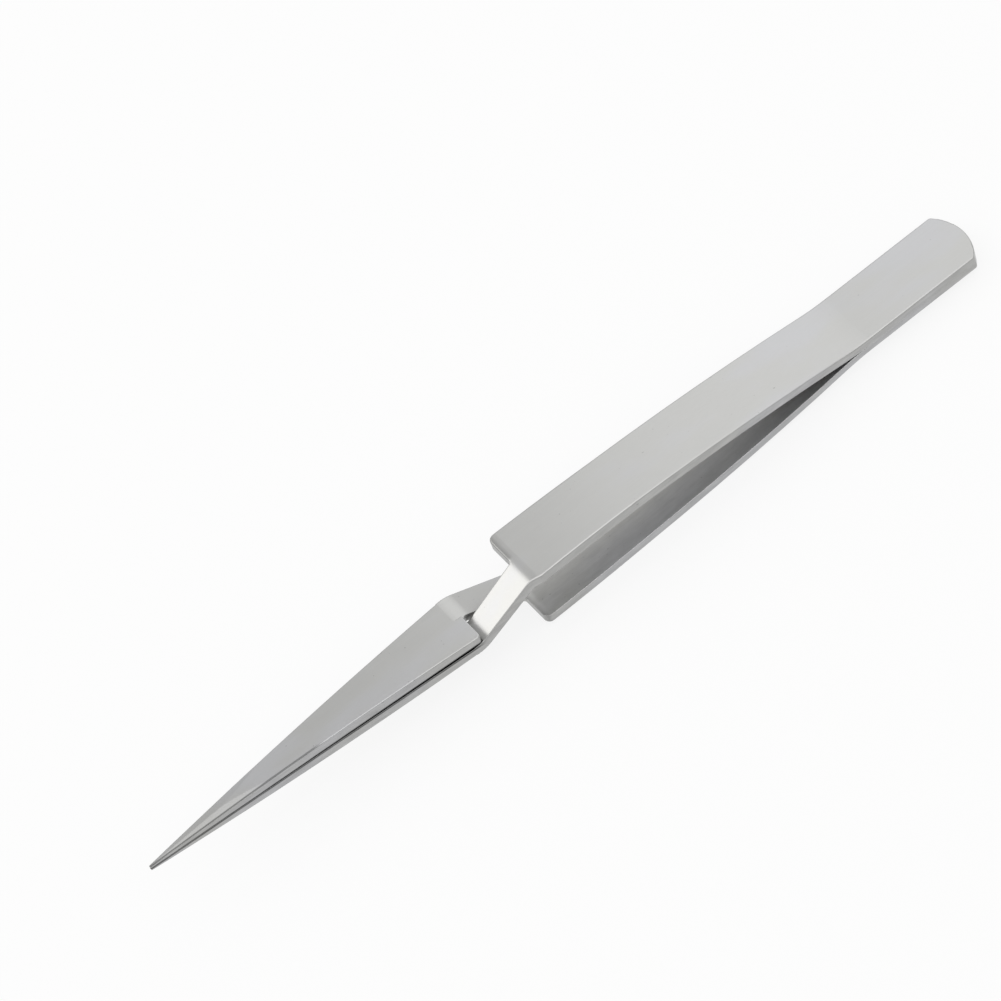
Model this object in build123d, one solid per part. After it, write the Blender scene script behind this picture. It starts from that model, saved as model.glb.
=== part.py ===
from build123d import *
from collections import Counter
import math
import os

# Reverse-action tweezers, in millimetres. Two equal arms of spring steel are welded face to face
# at the heel, bow apart along the handle, cross over each other at half-width necks and meet at
# fine tips, so that a squeeze on the handle opens the jaws.
# The arms are drawn in a working frame: X runs from the tips to the heel, Z is square to the broad
# faces, and the second arm is the first one turned half round about X. The finished pair is then
# laid down on the bowed face of its lower handle, as it comes to rest on a bench.

# Whole pair
overall_length = 120.0

# Heel, where the two arms are welded
weld_length = 19.5
heel_thickness = 1.05
heel_crown = 1.6
heel_corner_radius = 0.5

# Handle, a little wider at its front end
handle_width = 8.3
handle_front_width = 8.7
handle_flare_length = 15.0
handle_thickness = 1.33
handle_corner_radius = 0.75
handle_edge_radius = 0.2
bow_height = 4.42
bow_crown_run = 4.0
weld_bend_radius = 25.0

# Neck, half the width of the arm, which steps down from the handle to the jaw
neck_length = 7.8
neck_side_gap = 0.24
neck_outer_half_width = 3.95
neck_flare_length = 1.4
neck_flare_radius = 1.4
neck_handle_bend_offset = 0.35
neck_jaw_bend_offset = 0.15
neck_bend_radius = 3.5
neck_root_radius = 0.35

# Jaw, which tapers to the tip, with two shallow facets ground on its outer face at the tip
jaw_length = 45.3
jaw_root_width = 7.3
jaw_root_thickness = 1.15
jaw_root_gap = 0.42
jaw_root_radius = 0.6
jaw_corner_radius = 0.45
jaw_edge_radius = 0.1
belly_x = 30.0
belly_height = 1.56
tip_width = 0.3
tip_thickness = 0.36
tip_contact_length = 5.0
point_radius = 0.14
ridge_length = 10.5
facet_length = 17.0

# Values that follow from the sizes above
handle_start = jaw_length + neck_length
weld_start = overall_length - weld_length
bow_crown_x = handle_start + bow_crown_run
jaw_inner_z = -jaw_root_gap / 2
jaw_outer_z = jaw_inner_z - jaw_root_thickness
neck_bend_x = handle_start + neck_handle_bend_offset
jaw_bend_x = jaw_length - neck_jaw_bend_offset
neck_rise = bow_height - handle_thickness / 2 - (jaw_inner_z + jaw_outer_z) / 2
neck_slope = math.atan2(neck_rise, neck_bend_x - jaw_bend_x)
bend_shift = handle_thickness / 2 * math.tan(neck_slope / 2)
bend_start = jaw_bend_x - bend_shift - neck_bend_radius * math.tan(neck_slope / 2)
neck_inner_y = -neck_side_gap / 2


def bow_radius(drop):
    """Radius of the arc that is level at the crown and has come down by drop at the weld."""
    run = weld_start - bow_crown_x
    return (run**2 + drop**2) / (2 * drop)


def bow_z(x, crown_z, weld_z):
    """Height at x of the bow arc between its crown and the weld."""
    radius = bow_radius(crown_z - weld_z)
    return crown_z - radius + math.sqrt(radius**2 - (x - bow_crown_x) ** 2)


def round_corners(sketch, corners):
    """Round the corners of a sketch, given as pairs of a point and a radius."""
    for point, radius in corners:
        nearest = sketch.vertices().sort_by_distance(Vector(*point))[0]
        sketch = fillet(nearest, radius)
    return sketch


def belly_arc():
    """Outer face of the jaw seen edge-on, from the tip to the shoulder."""
    return ThreePointArc((0, -tip_thickness), (belly_x, -belly_height), (jaw_length, jaw_outer_z))


def jaw_faces_z(x):
    """Heights at x of the inner and the outer face of the jaw."""
    belly = belly_arc()
    inner_z = jaw_inner_z * (x - tip_contact_length) / (jaw_length - tip_contact_length)
    outer_z = belly.arc_center.Y - math.sqrt(belly.radius**2 - (x - belly.arc_center.X) ** 2)
    return inner_z, outer_z


def jaw_profile():
    """Edge-on outline of the jaw alone, straight up to its shoulder."""
    with BuildSketch() as profile:
        with BuildLine():
            belly = belly_arc()
            Polyline(belly @ 0, (0, 0), (tip_contact_length, 0), (jaw_length, jaw_inner_z), belly @ 1)
        make_face()
    return profile.sketch


def side_profile():
    """Edge-on outline of the arm with its handle above and its jaw below, with its bends."""
    inner_crown = bow_height - handle_thickness
    outer_knee_x = neck_bend_x - bend_shift
    inner_knee_x = neck_bend_x + bend_shift
    outer_weld = (weld_start, heel_thickness)
    inner_weld = (weld_start, 0)
    outer_knee = (outer_knee_x, bow_z(outer_knee_x, bow_height, heel_thickness))
    inner_knee = (inner_knee_x, bow_z(inner_knee_x, inner_crown, 0))
    inner_bend_x = jaw_bend_x - bend_shift
    outer_bend_x = jaw_bend_x + bend_shift
    jaw_inner = (inner_bend_x, jaw_faces_z(inner_bend_x)[0])
    jaw_outer = (outer_bend_x, jaw_faces_z(outer_bend_x)[1])
    tip_outer = (0, -tip_thickness)

    with BuildSketch() as profile:
        with BuildLine():
            Polyline(inner_weld, (overall_length, 0), (overall_length, heel_thickness), outer_weld)
            ThreePointArc(outer_weld, (bow_crown_x, bow_height), outer_knee)
            Polyline(outer_knee, jaw_inner, (tip_contact_length, 0), (0, 0), tip_outer)
            ThreePointArc(tip_outer, (belly_x, -belly_height), jaw_outer)
            Line(jaw_outer, inner_knee)
            ThreePointArc(inner_knee, (bow_crown_x, inner_crown), inner_weld)
        make_face()
    return round_corners(
        profile.sketch,
        [
            (outer_weld, weld_bend_radius),
            (inner_weld, weld_bend_radius + heel_thickness),
            (outer_knee, neck_bend_radius),
            (inner_knee, neck_bend_radius - handle_thickness),
            (jaw_inner, neck_bend_radius),
            (jaw_outer, neck_bend_radius + jaw_root_thickness),
        ],
    )


def plan_outline():
    """Outline of the arm seen square to its broad face, with the neck on the -Y side."""
    half_width = handle_width / 2
    half_front = handle_front_width / 2
    half_root = jaw_root_width / 2
    half_tip = tip_width / 2
    heel_corner_x = overall_length - heel_crown
    flare_x = handle_start + handle_flare_length
    far_heel = (heel_corner_x, half_width)
    near_heel = (heel_corner_x, -half_width)
    handle_corner = (handle_start, half_front)
    handle_root = (handle_start, neck_inner_y)
    jaw_root = (jaw_length, neck_inner_y)
    jaw_corner = (jaw_length, half_root)
    near_handle = (handle_start + neck_flare_length, -half_front)
    near_neck = (handle_start, -neck_outer_half_width)

    with BuildSketch() as outline:
        with BuildLine():
            ThreePointArc(near_heel, (overall_length, 0), far_heel)
            Polyline(far_heel, (flare_x, half_width), handle_corner, handle_root, jaw_root)
            Polyline(jaw_root, jaw_corner, (0, half_tip), (0, -half_tip), (jaw_length, -half_root))
            Polyline((jaw_length, -half_root), near_neck, near_handle, (flare_x, -half_width))
            Line((flare_x, -half_width), near_heel)
        make_face()
    return round_corners(
        outline.sketch,
        [
            (far_heel, heel_corner_radius),
            (near_heel, heel_corner_radius),
            (handle_corner, handle_corner_radius),
            (handle_root, neck_root_radius),
            (jaw_root, jaw_root_radius),
            (jaw_corner, jaw_corner_radius),
            ((0, half_tip), point_radius),
            ((0, -half_tip), point_radius),
            (near_neck, neck_flare_radius),
            (near_handle, neck_flare_radius),
        ],
    )


def rim(solid, side):
    """The edges around the faces of a solid that look up, for side 1, or down, for side -1."""
    broad_faces = [face for face in solid.faces() if face.normal_at().Z * side > 0.5]
    uses = Counter(edge for face in broad_faces for edge in face.edges())
    return [edge for edge, count in uses.items() if count == 1]


def straight_region():
    """Plan of the straight part of an arm: up to the bend, and on its free half to the shoulder."""
    whole = Rectangle(bend_start, 2 * handle_width, align=(Align.MIN, Align.CENTER))
    free_half = Rectangle(jaw_length, handle_width, align=(Align.MIN, Align.MIN))
    return whole + Pos(0, neck_inner_y) * free_half


def on_seam(edge, seam_x):
    """Whether an edge lies where the bent part of an arm starts, beside its jaw."""
    middle = edge.center()
    beside_neck = middle.X < jaw_length and math.isclose(middle.Y, neck_inner_y, abs_tol=0.001)
    return beside_neck or any(math.isclose(middle.X, x, abs_tol=0.001) for x in seam_x)


def grind_facets(arm):
    """Cut the two facets that meet in a ridge along the outer face of the tip."""
    belly = belly_arc()
    ridge_end = belly @ (ridge_length / belly.length)
    facet_end = belly @ (facet_length / belly.length)
    facet_half_width = (tip_width + (jaw_root_width - tip_width) * facet_end.X / jaw_length) / 2
    tip = Vector(0, 0, -tip_thickness)
    ridge = Vector(ridge_end.X, 0, ridge_end.Y) - tip
    for side in (1, -1):
        flank = Vector(facet_end.X, side * facet_half_width, facet_end.Y) - tip
        facet = Plane(origin=tip, z_dir=ridge.cross(flank) * side)
        arm = split(arm, bisect_by=facet, keep=Keep.TOP)
    return arm


def cut_out(profile, plan):
    """The solid that has one outline edge-on and another from above."""
    slab = extrude(Plane.XZ * profile, handle_width, both=True)
    return slab & extrude(plan, 2 * bow_height, both=True)


def build_arm():
    """The arm whose handle is above, whose neck is on the -Y side and whose jaw is below."""
    straight_plan = plan_outline() & straight_region()
    bent_plan = plan_outline() - straight_region()
    jaw = cut_out(jaw_profile(), straight_plan)
    handle = cut_out(side_profile(), bent_plan)
    jaw_radius = min(jaw_edge_radius, tip_width / 3, tip_thickness / 3)
    jaw_edges = [edge for edge in rim(jaw, 1) + rim(jaw, -1) if not on_seam(edge, [bend_start])]
    handle_edges = [edge for edge in rim(handle, 1) if not on_seam(edge, [bend_start, jaw_length])]
    return grind_facets(fillet(jaw_edges, jaw_radius) + fillet(handle_edges, handle_edge_radius))


def resting_place(upper, lower):
    """Place of the pair on a bench, where it rocks on its lower bow to under its balance point."""
    balance_x = upper.center(CenterOf.MASS).X
    bow_centre_height = bow_radius(bow_height - heel_thickness) - bow_height
    tilt = math.degrees(math.atan2(balance_x - bow_crown_x, bow_centre_height))
    tilted = Rot(0, tilt, 0)
    box = (tilted * Compound([upper, lower])).bounding_box()
    return Pos(-box.center().X, 0, -box.min.Z) * tilted


upper_arm = build_arm()
lower_arm = Rot(180, 0, 0) * upper_arm
place = resting_place(upper_arm, lower_arm)

os.makedirs("parts", exist_ok=True)
for name, arm in {"upper_arm": upper_arm, "lower_arm": lower_arm}.items():
    export_step(place * arm, f"parts/{name}.step")
    print(name, "volume", round(arm.volume, 2))
print("tilt", round(place.orientation.Y, 3), "shift", place.position)
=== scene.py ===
import math

import bpy
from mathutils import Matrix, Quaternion, Vector

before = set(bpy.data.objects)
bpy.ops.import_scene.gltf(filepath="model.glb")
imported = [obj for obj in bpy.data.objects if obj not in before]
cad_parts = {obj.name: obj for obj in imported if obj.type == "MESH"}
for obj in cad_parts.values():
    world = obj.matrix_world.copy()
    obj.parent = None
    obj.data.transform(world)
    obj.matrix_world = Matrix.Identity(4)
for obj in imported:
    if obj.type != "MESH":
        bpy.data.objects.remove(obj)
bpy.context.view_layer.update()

# Camera, in metres and degrees: it looks down on the pair from its near side, rolled clockwise
CAMERA_AIM = Vector((-0.00137, 0.01106, 0.0037))
CAMERA_AZIMUTH = -15.61
CAMERA_ELEVATION = 54.31
CAMERA_ROLL = -26.52
CAMERA_DISTANCE = 0.6067
CAMERA_LENS_MM = 189.09
SENSOR_WIDTH_MM = 36.0
CLIP_NEAR = 0.01
CLIP_FAR = 20.0

# Floor and world
FLOOR_SIZE = 6.0
FLOOR_ALBEDO = 0.8
FLOOR_GLOW = 0.84
WORLD_LEVEL = 0.69

# Square lamps: azimuth and elevation in degrees, distance and size in metres, watts, and colour
LAMPS = {
    "left": (228.0, 38.0, 0.6, 0.35, 0.54, (1.0, 0.988, 0.962)),
    "right": (128.0, 38.0, 0.6, 0.45, 0.34, (1.0, 1.0, 1.0)),
    "top": (0.0, 78.0, 0.7, 0.9, 2.1, (1.0, 1.0, 1.0)),
}

# The arms, and the side that their inner faces look to: 1 is up and -1 is down
INNER_SIDES = {"upper_arm": -1, "lower_arm": 1}

# The pair lies tilted on the floor, heel down, by this angle in degrees. The steel is drawn in a
# level frame, turned back by it, so that the grain runs along the arms
ARM_TILT = 2.648

# Places in that frame, in metres. A pair of values is where a mask starts and where it is full
TIP_X = -0.06
TIP_HALF_WIDTH = 0.00015
JAW_FLARE = 0.0773
# Painted shade lies along one edge of the ground tip, beside the seam and on the free front end
GROUND_EDGE_INSET = (0.00025, 0.00012)
GROUND_EDGE_X = (-0.036, -0.038)
SEAM_Z = 0.004576
SEAM_FLARE = 0.0058
SEAM_REACH = 0.00012
SEAM_BLEND = (0.0001, -0.00003)
SEAM_X = (-0.0141, -0.0161)
FREE_END_INNER_X = (-0.006325, -0.007025)
FREE_END_OUTER_X = (-0.008125, -0.007625)
FREE_END_AXIS = (0.0, 0.0004)
HANDLE_X = (-0.0071, -0.0061)

# How far a face looks sideways, inwards or up or down, and how well its rounded normal agrees with
# its true one, where a mask starts and where it is full
WALL_NORMAL = (0.6, 0.9)
INNER_NORMAL = (0.3, 0.7)
TOP_NORMAL = (0.25, 0.45)
EDGE_NORMAL = (0.995, 0.86)

# Noise in the steel: feature lengths along, across and through an arm in metres, detail, roughness
NOISES = {
    "clouds": ((0.016, 0.006, 0.006), 2.0, 0.55),
    "mottle": ((0.0022, 0.0009, 0.0009), 3.0, 0.6),
    "grain": ((0.006, 0.00011, 0.00011), 2.0, 0.6),
    "streaks": ((0.011, 0.00034, 0.00034), 2.0, 0.5),
    "spots": ((0.0005, 0.00035, 0.00035), 1.0, 0.55),
}
NOISE_MIDDLE = 0.5
SPECK_LEVEL = 0.765
SPECK_LEVEL_COARSE = -0.02
SPECK_BLEND = 0.05

# Steel: colours, and what each texture or place adds to its shade, roughness and relief. Coarse
# places are the side walls and the inner faces. Some places add painted shade, light or highlight
STEEL = (0.505, 0.505, 0.495, 1.0)
STEEL_COOL = (0.505, 0.507, 0.515, 1.0)
COOL_CLOUDS = (0.42, 0.66)
ROUGHNESS = 0.31
SHADES = {
    "clouds": 0.10,
    "grain": 0.07,
    "coarse_mottle": 0.30,
    "coarse_streaks": 0.22,
    "speck": -0.30,
    # Worn edges: smoother, and lighter in colour partly as a painted highlight
    "edge": 0.10,
    # Painted shade: the side walls are darkened, besides being rougher
    "wall": -0.15,
    # Painted light: the inner faces, shaded by the other arm, are lightened
    "inner": 0.12,
    # Painted shade: a dark line along one edge of the ground tip
    "painted_ground_edge_shade": -0.62,
    # Painted shade on the jaw edges beside the gap between the jaws
    "painted_seam_shade": -0.60,
    # Painted shade over the highlight on the front end of the handle's free half
    "painted_free_end_shade": -0.34,
}
ROUGHENING = {"clouds": 0.10, "coarse": 0.06, "edge": -0.08}
RELIEF_MOTTLE = 0.8
RELIEF_SPECK = -0.7
BUMP_STRENGTH = 0.35
BUMP_DEPTH = 0.000006
EDGE_RADIUS = 0.00012
EDGE_SAMPLES = 6

# Sockets of the colour form of the Mix node, whose names aren't unique
MIX_FACTOR, MIX_FIRST, MIX_SECOND, MIX_RESULT = 0, 6, 7, 2


def direction(azimuth, elevation):
    """Unit vector towards a place in the sky. Azimuth 0 is -Y and 90 is +X."""
    a = math.radians(azimuth)
    e = math.radians(elevation)
    return Vector((math.sin(a) * math.cos(e), -math.cos(a) * math.cos(e), math.sin(e)))


def make_camera():
    """The camera, which looks at its aim from outside the scene."""
    back = direction(CAMERA_AZIMUTH, CAMERA_ELEVATION)
    data = bpy.data.cameras.new("camera")
    data.lens = CAMERA_LENS_MM
    data.sensor_width = SENSOR_WIDTH_MM
    data.clip_start = CLIP_NEAR
    data.clip_end = CLIP_FAR
    camera = bpy.data.objects.new("camera", data)
    camera.location = CAMERA_AIM + back * CAMERA_DISTANCE
    roll = Quaternion((0, 0, 1), math.radians(CAMERA_ROLL))
    camera.rotation_mode = "QUATERNION"
    camera.rotation_quaternion = (-back).to_track_quat("-Z", "Y") @ roll
    bpy.context.scene.collection.objects.link(camera)
    bpy.context.scene.camera = camera


def make_lamp(name, azimuth, elevation, distance, size, watts, colour):
    """A square soft lamp that looks at the object from one side."""
    data = bpy.data.lights.new(name, "AREA")
    data.size = size
    data.energy = watts
    data.color = colour
    towards = direction(azimuth, elevation)
    lamp = bpy.data.objects.new(name, data)
    lamp.location = towards * distance
    lamp.rotation_mode = "QUATERNION"
    lamp.rotation_quaternion = (-towards).to_track_quat("-Z", "Y")
    bpy.context.scene.collection.objects.link(lamp)


def grey(level):
    """An opaque colour of one level."""
    return (level, level, level, 1.0)


def new_material(name):
    """A node material with an empty tree, and that tree."""
    material = bpy.data.materials.new(name)
    material.use_nodes = True
    tree = material.node_tree
    tree.nodes.clear()
    return material, tree


def add_node(tree, kind, inputs, **settings):
    """A node with its settings, and its inputs set to a value or joined to another socket."""
    node = tree.nodes.new(kind)
    for key, value in settings.items():
        setattr(node, key, value)
    for key, value in inputs.items():
        if isinstance(value, bpy.types.NodeSocket):
            tree.links.new(value, node.inputs[key])
        else:
            node.inputs[key].default_value = value
    return node


def math_node(tree, operation, *values):
    """The result of one operation on numbers or sockets."""
    return add_node(tree, "ShaderNodeMath", dict(enumerate(values)), operation=operation).outputs[0]


def weighted_sum(tree, start, sockets, weights):
    """Start plus each socket that has a weight, times that weight."""
    total = start
    for name, weight in weights.items():
        total = math_node(tree, "MULTIPLY_ADD", sockets[name], weight, total)
    return total


def ramp(tree, value, start, end):
    """0 up to start, 1 from end on, and a smooth step between them. End may be below start."""
    inputs = {"Value": value, "From Min": start, "From Max": end}
    node = add_node(tree, "ShaderNodeMapRange", inputs, interpolation_type="SMOOTHSTEP")
    return node.outputs["Result"]


def all_of(tree, *masks):
    """The product of some masks."""
    product = masks[0]
    for mask in masks[1:]:
        product = math_node(tree, "MULTIPLY", product, mask)
    return product


def noise(tree, place, lengths, detail, roughness):
    """Noise whose features have a given length, in metres, along each axis of the arm."""
    scale = tuple(1 / length for length in lengths)
    scaled = add_node(tree, "ShaderNodeMapping", {"Vector": place, "Scale": scale})
    inputs = {"Vector": scaled.outputs[0], "Scale": 1.0, "Detail": detail, "Roughness": roughness}
    return add_node(tree, "ShaderNodeTexNoise", inputs).outputs["Fac"]


def seen_directly(tree):
    """1 for camera, glossy and transmission rays, which see the background, and else 0."""
    rays = add_node(tree, "ShaderNodeLightPath", {}).outputs
    camera_or_glossy = math_node(tree, "MAXIMUM", rays["Is Camera Ray"], rays["Is Glossy Ray"])
    return math_node(tree, "MAXIMUM", camera_or_glossy, rays["Is Transmission Ray"])


def make_floor():
    """A pale floor that shows as white, still keeps a faint shadow, and lights as plain grey."""
    material, tree = new_material("pale_floor")
    diffuse = add_node(tree, "ShaderNodeBsdfDiffuse", {"Color": grey(FLOOR_ALBEDO)})
    faint = add_node(tree, "ShaderNodeBsdfDiffuse", {"Color": grey(FLOOR_ALBEDO * (1 - FLOOR_GLOW))})
    glow = add_node(tree, "ShaderNodeEmission", {"Color": grey(1.0), "Strength": FLOOR_GLOW})
    shown = add_node(tree, "ShaderNodeAddShader", {0: faint.outputs[0], 1: glow.outputs[0]})
    inputs = {0: seen_directly(tree), 1: diffuse.outputs[0], 2: shown.outputs[0]}
    mix = add_node(tree, "ShaderNodeMixShader", inputs)
    add_node(tree, "ShaderNodeOutputMaterial", {"Surface": mix.outputs[0]})

    half = FLOOR_SIZE / 2
    corners = [(-half, -half, 0), (half, -half, 0), (half, half, 0), (-half, half, 0)]
    mesh = bpy.data.meshes.new("floor")
    mesh.from_pydata(corners, [], [(0, 1, 2, 3)])
    mesh.materials.append(material)
    floor = bpy.data.objects.new("floor", mesh)
    bpy.context.scene.collection.objects.link(floor)


def make_world():
    """Even white light from all round."""
    world = bpy.data.worlds.new("studio")
    bpy.context.scene.world = world
    world.use_nodes = True
    tree = world.node_tree
    tree.nodes.clear()
    light = add_node(tree, "ShaderNodeBackground", {"Color": grey(1.0), "Strength": WORLD_LEVEL})
    add_node(tree, "ShaderNodeOutputWorld", {"Surface": light.outputs[0]})


def painted_ground_edge_shade_mask(tree, x, from_axis, normal_z):
    """Painted shade: a dark line along one edge of the outer face of the ground tip, with the taper.
    """
    offset = JAW_FLARE * -TIP_X + TIP_HALF_WIDTH
    half_width = math_node(tree, "MULTIPLY_ADD", x, JAW_FLARE, offset)
    inset = math_node(tree, "SUBTRACT", half_width, from_axis)
    at_edge = ramp(tree, inset, *GROUND_EDGE_INSET)
    at_tip = ramp(tree, x, *GROUND_EDGE_X)
    broad_face = ramp(tree, math_node(tree, "ABSOLUTE", normal_z), *TOP_NORMAL)
    return all_of(tree, at_edge, at_tip, broad_face)


def painted_seam_shade_mask(tree, x, z):
    """Painted shade on the edges of the jaws beside the gap between them, wider towards the knee."""
    from_seam = math_node(tree, "ABSOLUTE", math_node(tree, "SUBTRACT", z, SEAM_Z))
    reach = math_node(tree, "MULTIPLY_ADD", x, SEAM_FLARE, SEAM_FLARE * -TIP_X + SEAM_REACH)
    past_reach = math_node(tree, "SUBTRACT", from_seam, reach)
    return all_of(tree, ramp(tree, past_reach, *SEAM_BLEND), ramp(tree, x, *SEAM_X))


def painted_free_end_shade_mask(tree, x, from_axis):
    """Painted shade on the front end of the handle, on the half that has no neck, dimming its
    highlight.
    """
    along = all_of(tree, ramp(tree, x, *FREE_END_INNER_X), ramp(tree, x, *FREE_END_OUTER_X))
    return all_of(tree, along, ramp(tree, from_axis, *FREE_END_AXIS))


def worn_edge_and_highlight_mask(tree, rounded_normal, true_normal):
    """Worn edges, where the rounded normal leaves that of the face, lighter partly as painted
    highlight.
    """
    inputs = {0: rounded_normal, 1: true_normal}
    turn = add_node(tree, "ShaderNodeVectorMath", inputs, operation="DOT_PRODUCT")
    return ramp(tree, turn.outputs["Value"], *EDGE_NORMAL)


def place_masks(tree, place, rounded_normal, inner_side):
    """Masks from 0 to 1 for the places on an arm that have a finish of their own, or painted light
    or shade.
    """
    at = add_node(tree, "ShaderNodeSeparateXYZ", {0: place}).outputs
    geometry = add_node(tree, "ShaderNodeNewGeometry", {}).outputs
    normal = add_node(tree, "ShaderNodeSeparateXYZ", {0: geometry["Normal"]}).outputs
    from_axis = math_node(tree, "MULTIPLY", at["Y"], float(-inner_side))
    inwards = math_node(tree, "MULTIPLY", normal["Z"], float(inner_side))
    # The wall mask darkens the side walls as painted shade, and roughens them
    wall = ramp(tree, math_node(tree, "ABSOLUTE", normal["Y"]), *WALL_NORMAL)
    # The inner mask lightens the inner faces as painted light, and roughens them
    inner = all_of(tree, ramp(tree, inwards, *INNER_NORMAL), ramp(tree, at["X"], *HANDLE_X))
    return {
        "wall": wall,
        "inner": inner,
        "coarse": math_node(tree, "MAXIMUM", wall, inner),
        "edge": worn_edge_and_highlight_mask(tree, rounded_normal, geometry["True Normal"]),
        "painted_ground_edge_shade": painted_ground_edge_shade_mask(tree, at["X"], from_axis, normal["Z"]),
        "painted_seam_shade": painted_seam_shade_mask(tree, at["X"], at["Z"]),
        "painted_free_end_shade": painted_free_end_shade_mask(tree, at["X"], from_axis),
    }


def speck_mask(tree, spots, coarse):
    """Small specks, a little thicker on the coarse places."""
    level = math_node(tree, "MULTIPLY_ADD", coarse, SPECK_LEVEL_COARSE, SPECK_LEVEL)
    return ramp(tree, math_node(tree, "SUBTRACT", spots, level), 0.0, SPECK_BLEND)


def finish_parts(tree, noises, masks):
    """The masks and the noises, about their middle, by the names in the tables of the steel."""
    parts = dict(masks)
    for key in ("clouds", "grain", "mottle", "streaks"):
        parts[key] = math_node(tree, "SUBTRACT", noises[key], NOISE_MIDDLE)
    parts["coarse_mottle"] = math_node(tree, "MULTIPLY", parts["mottle"], masks["coarse"])
    parts["coarse_streaks"] = math_node(tree, "MULTIPLY", parts["streaks"], masks["coarse"])
    parts["speck"] = speck_mask(tree, noises["spots"], masks["coarse"])
    return parts


def steel_relief(tree, noises, parts, rounded_normal):
    """The normal of the steel: worn round at the edges, grained, coarse in places and pitted."""
    coarse = math_node(tree, "MULTIPLY", noises["mottle"], parts["coarse"])
    height = math_node(tree, "MULTIPLY_ADD", coarse, RELIEF_MOTTLE, noises["grain"])
    height = math_node(tree, "MULTIPLY_ADD", parts["speck"], RELIEF_SPECK, height)
    inputs = {
        "Strength": BUMP_STRENGTH,
        "Distance": BUMP_DEPTH,
        "Height": height,
        "Normal": rounded_normal,
    }
    return add_node(tree, "ShaderNodeBump", inputs).outputs[0]


def steel_colour(tree, clouds, shade):
    """The colour of the steel, a little cooler in some clouds, times its shade."""
    cool = ramp(tree, clouds, *COOL_CLOUDS)
    inputs = {MIX_FACTOR: cool, MIX_FIRST: STEEL, MIX_SECOND: STEEL_COOL}
    tint = add_node(tree, "ShaderNodeMix", inputs, data_type="RGBA").outputs[MIX_RESULT]
    shaded = add_node(tree, "ShaderNodeVectorMath", {0: tint, "Scale": shade}, operation="SCALE")
    return shaded.outputs[0]


def make_steel(name, inner_side):
    """Satin steel for one arm, whose inner faces look up, for side 1, or down, for side -1."""
    material, tree = new_material(name)
    level = {
        "Vector": add_node(tree, "ShaderNodeTexCoord", {}).outputs["Object"],
        "Rotation": (0.0, math.radians(-ARM_TILT), 0.0),
    }
    place = add_node(tree, "ShaderNodeMapping", level).outputs[0]
    bevel = add_node(tree, "ShaderNodeBevel", {"Radius": EDGE_RADIUS}, samples=EDGE_SAMPLES)
    rounded_normal = bevel.outputs[0]

    noises = {key: noise(tree, place, *values) for key, values in NOISES.items()}
    parts = finish_parts(tree, noises, place_masks(tree, place, rounded_normal, inner_side))
    surface = {
        "Base Color": steel_colour(tree, noises["clouds"], weighted_sum(tree, 1.0, parts, SHADES)),
        "Metallic": 1.0,
        "Roughness": weighted_sum(tree, ROUGHNESS, parts, ROUGHENING),
        "Normal": steel_relief(tree, noises, parts, rounded_normal),
    }
    shader = add_node(tree, "ShaderNodeBsdfPrincipled", surface)
    add_node(tree, "ShaderNodeOutputMaterial", {"Surface": shader.outputs[0]})
    return material


bpy.context.scene.view_settings.view_transform = "Standard"
make_camera()
make_floor()
make_world()
for lamp_name, lamp in LAMPS.items():
    make_lamp(lamp_name, *lamp)
for arm_name, inner_side in INNER_SIDES.items():
    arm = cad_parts[arm_name]
    arm.data.materials.clear()
    arm.data.materials.append(make_steel(arm_name + "_steel", inner_side))
